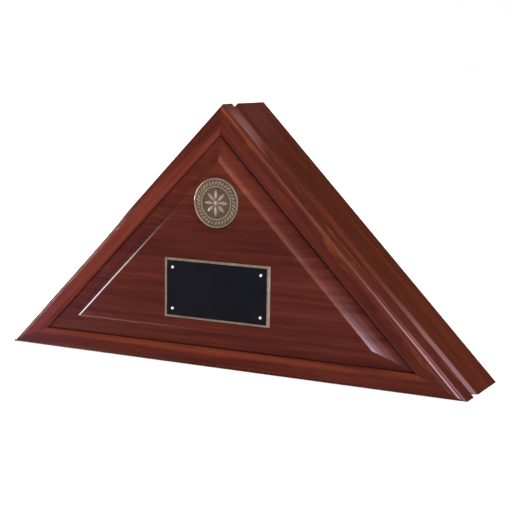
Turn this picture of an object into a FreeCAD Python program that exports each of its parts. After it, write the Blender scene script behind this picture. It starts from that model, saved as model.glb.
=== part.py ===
import FreeCAD, Part
import math
import os

Vector = FreeCAD.Vector

# Sizes in millimetres

# Outline of the case, seen from the front
case_width = 660.0
case_height = 337.0

# Depth of the door, from its frame face to the parting plane, and of the box behind it
door_depth = 38.0
box_depth = 81.0
door_gap = 0.2

# Thickness of the three boards and of the door frame behind the panel
board_thickness = 19.0
rear_edge_round = 1.5

# V-groove that runs round the parting plane
groove_half_width = 7.5
groove_depth = 3.6
groove_edge_round = 0.5

# Face and moulded outer edge of the door frame
frame_face_width = 26.5
frame_face_thickness = 16.0
frame_arris_round = 0.8
edge_step = 1.2
edge_step_round = 0.4
edge_quirk = 0.8
edge_round = 7.0

# Slot in the frame and the raised panel that floats in it
slot_lip = 4.0
slot_depth = 9.0
tongue_thickness = 6.0
tongue_clearance = 0.15
panel_float = 0.8
panel_proud = 5.0
field_inset = 50.0
field_arris_round = 0.8
bevel_knee_run = 9.0
bevel_knee_drop = 5.2
bevel_cove_radius = 50.0

# Mitre splines
spline_thickness = 4.0
spline_width = 14.0
spline_inset = 12.0
spline_end_margin = 12.0
spline_clearance = 0.1

# Back panel in its rabbet, and its screws
back_thickness = 6.0
back_recess = 3.0
back_clearance = 0.5
rabbet_width = 10.0
back_screw_head_radius = 3.5
back_screw_head_height = 2.0
back_screw_head_round = 1.2
back_screw_radius = 1.6
back_screw_length = 20.0
back_screws_on_base = 4
back_screws_on_slope = 3

# Hinges in the groove along the left slope
hinge_spacing = 230.0
hinge_length = 50.0
hinge_setback = 0.2
leaf_thickness = 1.2
leaf_margin = 3.5
knuckle_radius = 2.0
knuckle_clearance = 0.4
knuckle_gap = 0.3
mortise_clearance = 0.1
pin_radius = 1.0
pin_clearance = 0.05
pin_head_radius = 1.5
pin_head_thickness = 0.8

# Small countersunk screws of the hinges and strikes
screw_head_radius = 2.4
screw_head_height = 1.1
screw_radius = 1.3
screw_length = 11.0
screw_point = 2.0
screw_clearance = 0.05
hinge_screw_spacing = 32.0

# Magnets in the boards and steel strikes on the door
catch_from_corner = 120.0
magnet_radius = 5.0
magnet_length = 6.0
strike_radius = 6.0
strike_thickness = 1.5
catch_clearance = 0.05

# Medallion on its adhesive pad
medallion_radius = 31.3
medallion_margin = 4.5
medallion_thickness = 3.4
medallion_rim_width = 2.6
medallion_rim_height = 0.9
medallion_ring_radius = 21.3
medallion_ring_width = 1.2
medallion_ring_height = 0.5
medallion_boss_radius = 7.5
medallion_boss_height = 0.9
medallion_edge_round = 0.4
pad_radius = 29.0
pad_thickness = 0.8

# Name plate: bevelled backing, black insert and four pins
plate_width = 152.0
plate_height = 77.0
plate_thickness = 2.0
plate_bevel_width = 2.4
plate_bevel_drop = 1.2
plate_border = 4.0
plate_free_share_below = 0.23
insert_thickness = 0.8
insert_recess = 0.5
insert_clearance = 0.1
plate_pin_inset_across = 12.5
plate_pin_inset_up = 11.8
plate_pin_head_radius = 1.9
plate_pin_head_height = 1.1
plate_pin_head_round = 0.9
plate_pin_radius = 0.7
plate_pin_length = 11.0
plate_pin_clearance = 0.05

# How far cutting shapes run past what they cut
cut_margin = 5.0

# Places that follow from the sizes
base_angle = math.atan2(case_height, case_width / 2)
slope_length = math.hypot(case_width / 2, case_height)
inner_radius = case_width * case_height / (case_width + 2 * slope_length)
total_depth = door_depth + box_depth
medallion_front = panel_proud + pad_thickness + medallion_thickness
plate_front = panel_proud + plate_thickness - insert_recess + insert_thickness + plate_pin_head_height
depth_middle = (total_depth - max(medallion_front, plate_front)) / 2
door_rear = door_depth - door_gap
hinge_axis_depth = door_depth - door_gap / 2
hinge_axis_inset = knuckle_radius + hinge_setback
leaf_outer_edge = hinge_axis_inset + knuckle_radius + knuckle_clearance
leaf_inner_edge = board_thickness - leaf_margin
tongue_front = slot_lip + tongue_clearance
panel_rear = tongue_front + tongue_thickness
rabbet_depth = back_thickness + back_recess
land_middle = (groove_depth + board_thickness) / 2
field_apex = case_height - field_inset / math.cos(base_angle)
medallion_height = field_apex - (medallion_radius + medallion_margin) / math.cos(base_angle)
plate_free_height = medallion_height - medallion_radius - field_inset - plate_height
plate_bottom = field_inset + plate_free_height * plate_free_share_below
plate_middle = plate_bottom + plate_height / 2

backward = Vector(0, 1, 0)
forward = Vector(0, -1, 0)
upward = Vector(0, 0, 1)


def place(x, depth, z):
    """Point at a depth behind the frame face of the door."""
    return Vector(x, depth - depth_middle, z)


class Side:
    """One side of the triangle; the sides follow each other anticlockwise, seen from the front."""

    def __init__(self, start, end):
        self.start = start
        self.end = end
        self.length = (end - start).Length
        self.along = (end - start).normalize()
        self.inward = Vector(-self.along.z, 0, self.along.x)

    def point(self, run, across, depth):
        """Point at a run along the side, inward from its outer face and at a depth."""
        flat = self.start + self.along * run + self.inward * across
        return place(flat.x, depth, flat.z)


left_corner = Vector(-case_width / 2, 0, 0)
right_corner = Vector(case_width / 2, 0, 0)
apex = Vector(0, 0, case_height)
triangle_middle = Vector(0, 0, inner_radius)
base_side = Side(left_corner, right_corner)
right_side = Side(right_corner, apex)
left_side = Side(apex, left_corner)
sides = [base_side, right_side, left_side]


def corner_arc(before, corner, after, radius):
    """Start, middle and end of the arc that rounds a corner."""
    back = (before - corner).normalize()
    ahead = (after - corner).normalize()
    half_angle = back.getAngle(ahead) / 2
    reach = radius / math.tan(half_angle)
    bisector = (back + ahead).normalize()
    middle = corner + bisector * (radius / math.sin(half_angle) - radius)
    return corner + back * reach, middle, corner + ahead * reach


def outline_face(corners, to_point):
    """Flat face through corners of two coordinates and a rounding radius each."""
    points = [to_point(corner[0], corner[1]) for corner in corners]
    count = len(points)
    arcs = {}
    for index in range(count):
        radius = corners[index][2]
        if radius > 0:
            after = points[(index + 1) % count]
            arcs[index] = corner_arc(points[index - 1], points[index], after, radius)
    edges = []
    for index in range(count):
        following = (index + 1) % count
        leave = points[index]
        if index in arcs:
            arc_start, arc_middle, leave = arcs[index]
            edges.append(Part.Arc(arc_start, arc_middle, leave).toShape())
        arrive = arcs[following][0] if following in arcs else points[following]
        edges.append(Part.makeLine(leave, arrive))
    return Part.Face(Part.Wire(edges))


def bar_along(side, corners, overrun):
    """Bar of one section, running past both ends of a side."""
    section = outline_face(corners, lambda across, depth: side.point(-overrun, across, depth))
    return section.extrude(side.along * (side.length + 2 * overrun))


def flat_prism(points, front_depth, rear_depth):
    """Upright prism between two depths, from points of x and z."""
    ring = [place(point.x, front_depth, point.z) for point in points]
    face = Part.Face(Part.makePolygon(ring + ring[:1]))
    return face.extrude(backward * (rear_depth - front_depth))


def inset_triangle(inset):
    """Corners of the triangle that lies a distance inside the outline on every side."""
    share = (inner_radius - inset) / inner_radius
    corners = (left_corner, right_corner, apex)
    return [triangle_middle + (corner - triangle_middle) * share for corner in corners]


def mitred_bar(side, corners):
    """Bar of one section, mitred at both ends of a side."""
    outer = inset_triangle(-cut_margin)
    wedge_ends = {base_side: outer[0:2], right_side: outer[1:3], left_side: [outer[2], outer[0]]}
    wedge = flat_prism(wedge_ends[side] + [triangle_middle], -cut_margin, total_depth + cut_margin)
    return bar_along(side, corners, cut_margin).common(wedge)


def block(x_from, x_to, depth_from, depth_to, z_from, z_to):
    """Rectangular block between two corners."""
    corner = place(x_from, depth_from, z_from)
    return Part.makeBox(x_to - x_from, depth_to - depth_from, z_to - z_from, corner)


def turned(centre, axis, corners, aside=upward):
    """Solid turned about an axis; a corner is a radius aside, a distance along the axis and a rounding."""
    section = outline_face(corners, lambda radius, reach: centre + aside * radius + axis * reach)
    return section.revolve(centre, axis, 360)


def disc(centre, axis, radius, thickness):
    """Plain round disc that starts at its centre point and runs along its axis."""
    return Part.makeCylinder(radius, thickness, centre, axis)


# Screws and pins

def small_screw(seat, axis, grow=0.0):
    """Countersunk screw whose head lies flush at its seat; grow widens it into its own hole."""
    return turned(seat, axis, [
        (0, 0, 0),
        (screw_head_radius + grow, 0, 0),
        (screw_radius + grow, screw_head_height, 0),
        (screw_radius + grow, screw_length - screw_point, 0),
        (0, screw_length + grow, 0),
    ])


def screw_holes(seats, axis):
    """Cutting shapes for small screws at all the seats."""
    return [small_screw(seat, axis, screw_clearance) for seat in seats]


def back_screw(seat, grow=0.0):
    """Round-headed screw that holds the back panel, driven from behind."""
    return turned(seat, forward, [
        (0, -back_screw_head_height, 0),
        (back_screw_head_radius, -back_screw_head_height, back_screw_head_round),
        (back_screw_head_radius, 0, 0),
        (back_screw_radius + grow, 0, 0),
        (back_screw_radius + grow, back_screw_length - screw_point, 0),
        (0, back_screw_length + grow, 0),
    ])


def plate_pin(seat, grow=0.0):
    """Round-headed pin of the name plate."""
    return turned(seat, backward, [
        (0, -plate_pin_head_height, 0),
        (plate_pin_head_radius, -plate_pin_head_height, plate_pin_head_round),
        (plate_pin_head_radius, 0, 0),
        (plate_pin_radius + grow, 0, 0),
        (plate_pin_radius + grow, plate_pin_length + grow, 0),
        (0, plate_pin_length + grow, 0),
    ])


# Mitre splines

def mitre_splines(front_depth, rear_depth, grow=0.0):
    """Three flat keys, one across each mitre; grow widens them into their slots."""
    keys = []
    for corner in (left_corner, right_corner, apex):
        inward = (triangle_middle - corner).normalize()
        sideways = Vector(-inward.z, 0, inward.x)
        half_angle = math.asin(inner_radius / (triangle_middle - corner).Length)
        centre = corner + inward * (spline_inset / math.sin(half_angle))
        half_thickness = inward * (spline_thickness / 2 + grow)
        half_width = sideways * (spline_width / 2 + grow)
        outline = [
            centre - half_thickness - half_width,
            centre + half_thickness - half_width,
            centre + half_thickness + half_width,
            centre - half_thickness + half_width,
        ]
        keys.append(flat_prism(outline, front_depth - grow, rear_depth + grow))
    return keys


def door_splines(grow=0.0):
    """Keys across the mitres of the door frame."""
    return mitre_splines(spline_end_margin, door_depth - spline_end_margin, grow)


def box_splines(grow=0.0):
    """Keys across the mitres of the box."""
    rabbet_front = total_depth - rabbet_depth
    return mitre_splines(door_depth + spline_end_margin, rabbet_front - spline_end_margin, grow)


# Hinges

hinge_side = left_side
hinge_middles = {
    "upper": (hinge_side.length - hinge_spacing) / 2,
    "lower": (hinge_side.length + hinge_spacing) / 2,
}


def hinge_axis_point(run):
    """Point on the hinge axis."""
    return hinge_side.point(run, hinge_axis_inset, hinge_axis_depth)


def hinge_block(run_from, run_to, across_from, across_to, depth_from, depth_to):
    """Rectangular block that lies along the hinge side."""
    outline = [
        hinge_side.point(run_from, across_from, depth_from),
        hinge_side.point(run_to, across_from, depth_from),
        hinge_side.point(run_to, across_to, depth_from),
        hinge_side.point(run_from, across_to, depth_from),
    ]
    face = Part.Face(Part.makePolygon(outline + outline[:1]))
    return face.extrude(backward * (depth_to - depth_from))


def knuckle_spans(middle):
    """Ends of the three knuckles of a hinge along its side: case, door, case."""
    half = hinge_length / 2
    third = hinge_length / 6
    gap = knuckle_gap / 2
    return [
        (middle - half, middle - third - gap),
        (middle - third + gap, middle + third - gap),
        (middle + third + gap, middle + half),
    ]


def hinge_leaf(middle, spans, front_depth):
    """Flat leaf with rolled knuckles over the given spans, bored for the pin."""
    rear_depth = front_depth + leaf_thickness
    half = hinge_length / 2
    leaf = hinge_block(
        middle - half, middle + half, leaf_outer_edge, leaf_inner_edge, front_depth, rear_depth
    )
    rolls = []
    for start, end in spans:
        rolls.append(hinge_block(start, end, hinge_axis_inset, leaf_outer_edge, front_depth, rear_depth))
        rolls.append(disc(hinge_axis_point(start), hinge_side.along, knuckle_radius, end - start))
    bore_start = hinge_axis_point(middle - hinge_length)
    bore = disc(bore_start, hinge_side.along, pin_radius + pin_clearance, 2 * hinge_length)
    return leaf.fuse(rolls).removeSplitter().cut(bore)


def hinge_screw_seats(middle, depth):
    """Screw heads on the face of a leaf."""
    across = (leaf_outer_edge + leaf_inner_edge) / 2
    half = hinge_screw_spacing / 2
    return [hinge_side.point(run, across, depth) for run in (middle - half, middle + half)]


def door_leaf(middle):
    """Leaf let into the rear face of the left stile."""
    leaf = hinge_leaf(middle, knuckle_spans(middle)[1:2], door_rear - leaf_thickness)
    return leaf.cut(screw_holes(hinge_screw_seats(middle, door_rear), forward))


def case_leaf(middle):
    """Leaf let into the front edge of the left board."""
    leaf = hinge_leaf(middle, knuckle_spans(middle)[0::2], door_depth)
    return leaf.cut(screw_holes(hinge_screw_seats(middle, door_depth), backward))


def hinge_pin(middle):
    """Pin with a small head at each end."""
    head = pin_head_thickness
    length = hinge_length + 2 * (head + pin_clearance)
    corners = [
        (0, 0, 0),
        (pin_head_radius, 0, 0),
        (pin_head_radius, head, 0),
        (pin_radius, head, 0),
        (pin_radius, length - head, 0),
        (pin_head_radius, length - head, 0),
        (pin_head_radius, length, 0),
        (0, length, 0),
    ]
    return turned(hinge_axis_point(middle - length / 2), hinge_side.along, corners, backward)


def hinge_recess(middle, leaf_front, leaf_rear):
    """Room for one leaf and for the knuckles in the wood."""
    half = hinge_length / 2 + mortise_clearance
    inner_edge = leaf_inner_edge + mortise_clearance
    mortise = hinge_block(middle - half, middle + half, -cut_margin, inner_edge, leaf_front, leaf_rear)
    barrel_half = hinge_length / 2 + pin_head_thickness + knuckle_clearance
    barrel_radius = knuckle_radius + knuckle_clearance
    barrel_start = hinge_axis_point(middle - barrel_half)
    barrel = disc(barrel_start, hinge_side.along, barrel_radius, 2 * barrel_half)
    return mortise.fuse(barrel)


# Catches

def catch_points(depth):
    """Centres of the two catches on the flat behind the groove, either side of the right corner."""
    return [
        base_side.point(base_side.length - catch_from_corner, land_middle, depth),
        right_side.point(catch_from_corner, land_middle, depth),
    ]


def magnet(seat, grow=0.0):
    """Disc magnet let into the front edge of a board; grow widens it into its seat."""
    return disc(seat, backward, magnet_radius + grow, magnet_length)


def strike_disc(seat, grow=0.0):
    """Plain disc of a strike, let into the rear face of the door."""
    return disc(seat, forward, strike_radius + grow, strike_thickness)


def strike(seat):
    """Steel strike with a countersunk hole."""
    return strike_disc(seat).cut(screw_holes([seat], forward))


# Door

def door_section():
    """Section of the door frame, from the outer edge inward and from the face backward."""
    slot_rear = panel_rear + tongue_clearance
    slot_floor = frame_face_width - slot_depth
    return [
        (frame_face_width, 0, frame_arris_round),
        (edge_round + edge_quirk, 0, edge_step_round),
        (edge_round + edge_quirk, edge_step, 0),
        (0, edge_step, edge_round),
        (0, door_depth - groove_half_width, groove_edge_round),
        (groove_depth, door_rear, 0),
        (board_thickness, door_rear, 0),
        (board_thickness, frame_face_thickness, 0),
        (frame_face_width, frame_face_thickness, 0),
        (frame_face_width, slot_rear, 0),
        (slot_floor, slot_rear, 0),
        (slot_floor, slot_lip, 0),
        (frame_face_width, slot_lip, 0),
    ]


def door_member(side):
    """Rail or stile of the door with its spline slots and catch seat."""
    seats = catch_points(door_rear)
    cuts = door_splines(spline_clearance) + screw_holes(seats, forward)
    cuts.extend(strike_disc(seat, catch_clearance) for seat in seats)
    return mitred_bar(side, door_section()).cut(cuts)


def door_left_stile():
    """Left stile of the door with the recesses and screw holes of its hinges."""
    cuts = []
    for middle in hinge_middles.values():
        cuts.append(hinge_recess(middle, door_rear - leaf_thickness, door_depth))
        cuts.extend(screw_holes(hinge_screw_seats(middle, door_rear), forward))
    return door_member(hinge_side).cut(cuts)


def panel_section():
    """Section of the raised panel from its tongue to past the far side of the door."""
    tongue_edge = frame_face_width - slot_depth + panel_float
    far_side = case_width
    return [
        (tongue_edge, tongue_front, 0),
        (frame_face_width, tongue_front, 0),
        (field_inset - bevel_knee_run, bevel_knee_drop - panel_proud, bevel_cove_radius),
        (field_inset, -panel_proud, field_arris_round),
        (far_side, -panel_proud, 0),
        (far_side, panel_rear, 0),
        (tongue_edge, panel_rear, 0),
    ]


def door_panel():
    """Triangular raised panel, the same section along all three sides."""
    panel = bar_along(base_side, panel_section(), case_width)
    for side in (right_side, left_side):
        panel = panel.common(bar_along(side, panel_section(), case_width))
    return panel.removeSplitter().cut(plate_pin_holes())


# Medallion and name plate

def medallion():
    """Round medallion with a raised rim, an inner ring and a low boss, lying on its pad."""
    ground = medallion_thickness - medallion_rim_height
    ring_inner = medallion_ring_radius - medallion_ring_width
    rim_inner = medallion_radius - medallion_rim_width
    ring_top = ground + medallion_ring_height
    boss_top = ground + medallion_boss_height
    rear = place(0, -panel_proud - pad_thickness, medallion_height)
    return turned(rear, forward, [
        (0, 0, 0),
        (medallion_radius, 0, 0),
        (medallion_radius, medallion_thickness, medallion_edge_round),
        (rim_inner, medallion_thickness, medallion_edge_round),
        (rim_inner, ground, 0),
        (medallion_ring_radius, ground, 0),
        (medallion_ring_radius, ring_top, 0),
        (ring_inner, ring_top, 0),
        (ring_inner, ground, 0),
        (medallion_boss_radius, ground, 0),
        (0, boss_top, 0),
    ])


def medallion_pad():
    """Adhesive pad between the panel and the medallion."""
    return disc(place(0, -panel_proud, medallion_height), forward, pad_radius, pad_thickness)


def insert_front():
    """Depth of the front of the black insert."""
    return -panel_proud - plate_thickness + insert_recess - insert_thickness


def plate_pin_seats():
    """Undersides of the four pin heads."""
    half_across = plate_width / 2 - plate_pin_inset_across
    half_up = plate_height / 2 - plate_pin_inset_up
    return [
        place(side * half_across, insert_front(), plate_middle + level * half_up)
        for level in (-1, 1)
        for side in (-1, 1)
    ]


def plate_pin_holes():
    """Cutting shapes for the four pins."""
    return [plate_pin(seat, plate_pin_clearance) for seat in plate_pin_seats()]


def plate_backing():
    """Plate with bevelled edges and a shallow recess for the insert."""
    half_width = plate_width / 2
    half_height = plate_height / 2
    front = -panel_proud - plate_thickness
    bevel_depth = front + plate_bevel_drop
    rings = []
    for depth, shrink in ((bevel_depth, 0), (front, plate_bevel_width)):
        across = half_width - shrink
        up = half_height - shrink
        corners = [(-across, -up), (across, -up), (across, up), (-across, up), (-across, -up)]
        rings.append(Part.makePolygon([place(x, depth, plate_middle + z) for x, z in corners]))
    bevel = Part.makeLoft(rings, True, True)
    low = plate_middle - half_height
    high = plate_middle + half_height
    slab = block(-half_width, half_width, bevel_depth, -panel_proud, low, high)
    recess = insert_block(front - cut_margin, front + insert_recess, insert_clearance)
    return slab.fuse(bevel).removeSplitter().cut([recess] + plate_pin_holes())


def insert_block(front_depth, rear_depth, grow=0.0):
    """Block of the insert's outline."""
    half_width = plate_width / 2 - plate_border + grow
    half_height = plate_height / 2 - plate_border + grow
    low = plate_middle - half_height
    return block(-half_width, half_width, front_depth, rear_depth, low, plate_middle + half_height)


def plate_insert():
    """Black insert that stands a little proud of its recess."""
    insert = insert_block(insert_front(), insert_front() + insert_thickness)
    return insert.cut(plate_pin_holes())


# Box

def board_section():
    """Section of the three boards, with the groove in front and the rabbet behind."""
    rabbet_edge = board_thickness - rabbet_width
    rabbet_front = total_depth - rabbet_depth
    return [
        (groove_depth, door_depth, 0),
        (board_thickness, door_depth, 0),
        (board_thickness, rabbet_front, 0),
        (rabbet_edge, rabbet_front, 0),
        (rabbet_edge, total_depth, 0),
        (0, total_depth, rear_edge_round),
        (0, door_depth + groove_half_width, groove_edge_round),
    ]


def back_screw_seats():
    """Undersides of the heads of the back panel's screws, spread evenly along the rabbet."""
    seats = []
    across = board_thickness - rabbet_width / 2
    depth = total_depth - back_recess
    end_run = across / math.tan(base_angle / 2)
    for side in sides:
        count = back_screws_on_base if side is base_side else back_screws_on_slope
        spacing = (side.length - 2 * end_run) / count
        for index in range(count):
            seats.append(side.point(end_run + spacing * (index + 0.5), across, depth))
    return seats


def box_board(side):
    """Board of the box with its spline slots, magnet seats and screw holes."""
    cuts = box_splines(spline_clearance)
    cuts.extend(back_screw(seat, screw_clearance) for seat in back_screw_seats())
    cuts.extend(magnet(seat, catch_clearance) for seat in catch_points(door_depth))
    return mitred_bar(side, board_section()).cut(cuts)


def left_board():
    """Left board of the box with the recesses and screw holes of its hinges."""
    cuts = []
    for middle in hinge_middles.values():
        cuts.append(hinge_recess(middle, door_rear, door_depth + leaf_thickness))
        cuts.extend(screw_holes(hinge_screw_seats(middle, door_depth), backward))
    return box_board(hinge_side).cut(cuts)


def back_panel():
    """Triangular back panel lying in the rabbet."""
    front = total_depth - rabbet_depth
    outline = inset_triangle(board_thickness - rabbet_width + back_clearance)
    panel = flat_prism(outline, front, front + back_thickness)
    return panel.cut([back_screw(seat, screw_clearance) for seat in back_screw_seats()])


# All pieces by name

def hinge_screws(depth, axis):
    """Screws of both hinges on one side of the parting plane."""
    seats = [seat for middle in hinge_middles.values() for seat in hinge_screw_seats(middle, depth)]
    return Part.makeCompound([small_screw(seat, axis) for seat in seats])


strike_seats = catch_points(door_rear)
magnet_seats = catch_points(door_depth)
pieces = {
    "door_bottom_rail": door_member(base_side),
    "door_right_stile": door_member(right_side),
    "door_left_stile": door_left_stile(),
    "door_mitre_splines": Part.makeCompound(door_splines()),
    "door_panel": door_panel(),
    "medallion": medallion(),
    "medallion_pad": medallion_pad(),
    "name_plate_backing": plate_backing(),
    "name_plate_insert": plate_insert(),
    "name_plate_pins": Part.makeCompound([plate_pin(seat) for seat in plate_pin_seats()]),
    "door_hinge_screws": hinge_screws(door_rear, forward),
    "catch_strikes": Part.makeCompound([strike(seat) for seat in strike_seats]),
    "catch_strike_screws": Part.makeCompound([small_screw(seat, forward) for seat in strike_seats]),
    "base_board": box_board(base_side),
    "right_board": box_board(right_side),
    "left_board": left_board(),
    "box_mitre_splines": Part.makeCompound(box_splines()),
    "back_panel": back_panel(),
    "back_panel_screws": Part.makeCompound([back_screw(seat) for seat in back_screw_seats()]),
    "case_hinge_screws": hinge_screws(door_depth, backward),
    "catch_magnets": Part.makeCompound([magnet(seat) for seat in magnet_seats]),
}
for level, middle in hinge_middles.items():
    pieces[level + "_hinge_door_leaf"] = door_leaf(middle)
    pieces[level + "_hinge_case_leaf"] = case_leaf(middle)
    pieces[level + "_hinge_pin"] = hinge_pin(middle)

os.makedirs("parts", exist_ok=True)
for name, shape in pieces.items():
    shape.exportStep(os.path.join("parts", name + ".step"))
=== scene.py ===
"""Looks of a folded flag display case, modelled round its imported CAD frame."""

import logging
import math
from collections.abc import Callable, Iterator, Sequence
from contextlib import contextmanager
from dataclasses import dataclass, replace
from enum import Enum

import bmesh
import bpy
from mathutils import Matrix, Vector


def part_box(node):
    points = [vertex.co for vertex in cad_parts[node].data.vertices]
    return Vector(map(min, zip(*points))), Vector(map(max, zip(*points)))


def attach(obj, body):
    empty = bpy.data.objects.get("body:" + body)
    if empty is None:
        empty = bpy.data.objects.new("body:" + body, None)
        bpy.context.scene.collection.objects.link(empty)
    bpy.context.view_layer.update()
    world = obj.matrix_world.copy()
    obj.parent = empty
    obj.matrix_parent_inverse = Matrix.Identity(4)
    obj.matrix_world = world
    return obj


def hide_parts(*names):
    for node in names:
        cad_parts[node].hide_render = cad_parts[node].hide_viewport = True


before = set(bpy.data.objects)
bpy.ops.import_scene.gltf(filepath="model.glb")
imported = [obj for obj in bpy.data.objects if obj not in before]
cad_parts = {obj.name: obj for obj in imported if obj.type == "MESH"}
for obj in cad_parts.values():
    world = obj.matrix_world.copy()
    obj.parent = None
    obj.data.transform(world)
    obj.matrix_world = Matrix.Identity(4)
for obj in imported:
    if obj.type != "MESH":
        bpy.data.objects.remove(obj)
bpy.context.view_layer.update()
LOG = logging.getLogger("flag_case")

MM = 0.001
FACE_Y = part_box("door_bottom_rail")[0].y
TOUCH = 1e-6
QUARTER = math.pi / 2
# Attribute that carries dark stain and painted shade in the panel's corner against the frame
GLAZE_AND_SHADE = "glaze"

Piece = bpy.types.Object
Material = bpy.types.Material
Tree = bpy.types.NodeTree
Socket = bpy.types.NodeSocket
Pair = tuple[float, float]
Size = tuple[float, float, float]
Colour = tuple[float, float, float, float]
Steps = Sequence[Pair]


class Body(Enum):
    """Bodies of the CAD frame that a piece moves with."""

    BOX = "box"
    DOOR = "door"


class Way(Enum):
    """Direction that the head of a screw faces."""

    FRONT = -1
    REAR = 1


class Part(Enum):
    """Parts of a mesh that can be selected."""

    VERT = "verts"
    FACE = "faces"


# Finishes


def to_linear(code: str) -> Colour:
    """Turns an sRGB hex colour into linear light.

    Args:
        code: Colour such as "#5c2416".

    Returns:
        Linear red, green and blue, and an alpha of one.
    """
    channels = [int(code[start : start + 2], 16) / 255 for start in (1, 3, 5)]
    low = [value / 12.92 for value in channels]
    high = [((value + 0.055) / 1.055) ** 2.4 for value in channels]
    red, green, blue = (a if c <= 0.04045 else b for c, a, b in zip(channels, low, high))
    return red, green, blue, 1.0


def add_node(
    tree: Tree,
    kind: str,
    inputs: dict | Sequence = (),
    stops: Sequence[tuple[float, str]] = (),
    out: int | str = 0,
    **settings: object,
) -> Socket | None:
    """Adds a node with its settings, input values and links.

    Args:
        tree: Node tree that takes the node.
        kind: Blender's name for the node type, without its prefix.
        inputs: Values or sockets in the order of the inputs, or by input name or number.
        stops: Positions and hex colours of a colour ramp.
        out: Name or number of the output that is wanted.
        settings: Properties of the node itself.

    Returns:
        The wanted output, or nothing where the node has none.
    """
    node = tree.nodes.new(f"ShaderNode{kind}")
    for name, value in settings.items():
        setattr(node, name, value)
    pairs = inputs.items() if isinstance(inputs, dict) else enumerate(inputs)
    for name, value in pairs:
        if isinstance(value, Socket):
            tree.links.new(value, node.inputs[name])
        else:
            node.inputs[name].default_value = value
    for index, (position, code) in enumerate(stops):
        elements = node.color_ramp.elements
        element = elements[index] if index < 2 else elements.new(position)
        element.position = position
        element.color = to_linear(code)
    return node.outputs[out] if node.outputs else None


def new_material(name: str) -> tuple[Material, Tree]:
    """Starts a material with an empty node tree.

    Args:
        name: Name of the material.

    Returns:
        The material and its tree.
    """
    material = bpy.data.materials.new(name)
    material.use_nodes = True
    material.node_tree.nodes.clear()
    return material, material.node_tree


def close_material(tree: Tree, height: Socket, strength: float, depth_mm: float, inputs: dict) -> None:
    """Ends a material with its relief, its shader and the output.

    Args:
        tree: Node tree of the material.
        height: Socket with the height of the relief.
        strength: Strength of the relief.
        depth_mm: Depth of the relief in millimetres.
        inputs: Values and sockets of the shader.
    """
    relief = {"Height": height, "Strength": strength, "Distance": depth_mm * MM}
    shader = add_node(tree, "BsdfPrincipled", inputs | {"Normal": add_node(tree, "Bump", relief)})
    add_node(tree, "OutputMaterial", {"Surface": shader})


def grain_space(tree: Tree, angle: float = 0.0, shift: float = 0.0) -> Socket:
    """Turns object space so that X runs along the grain.

    Args:
        tree: Node tree of the material.
        angle: Direction of the grain in the plane of the front, in radians.
        shift: Offset in metres that gives each board its own figure.

    Returns:
        Socket with the turned place.
    """
    place = add_node(tree, "TexCoord", out="Object")
    move = (shift, shift / 3, shift / 2)
    return add_node(tree, "Mapping", {"Vector": place, "Rotation": (0, angle, 0), "Location": move})


def stretched_noise(
    tree: Tree, place: Socket, size_mm: Size, detail: float, roughness: float = 0.5, distortion: float = 0.0
) -> Socket:
    """Adds a noise whose cells have a real size.

    Args:
        tree: Node tree of the material.
        place: Socket with the place in metres.
        size_mm: Size of a cell along each axis, in millimetres.
        detail: Octaves of the noise.
        roughness: Share of each finer octave.
        distortion: How far the noise is warped, in cells.

    Returns:
        Socket with the noise value.
    """
    scaled = add_node(tree, "Mapping", {"Vector": place, "Scale": tuple(1 / (size * MM) for size in size_mm)})
    values = {"Scale": 1.0, "Detail": detail, "Roughness": roughness, "Distortion": distortion}
    return add_node(tree, "TexNoise", {"Vector": scaled} | values, out="Fac")


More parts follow.
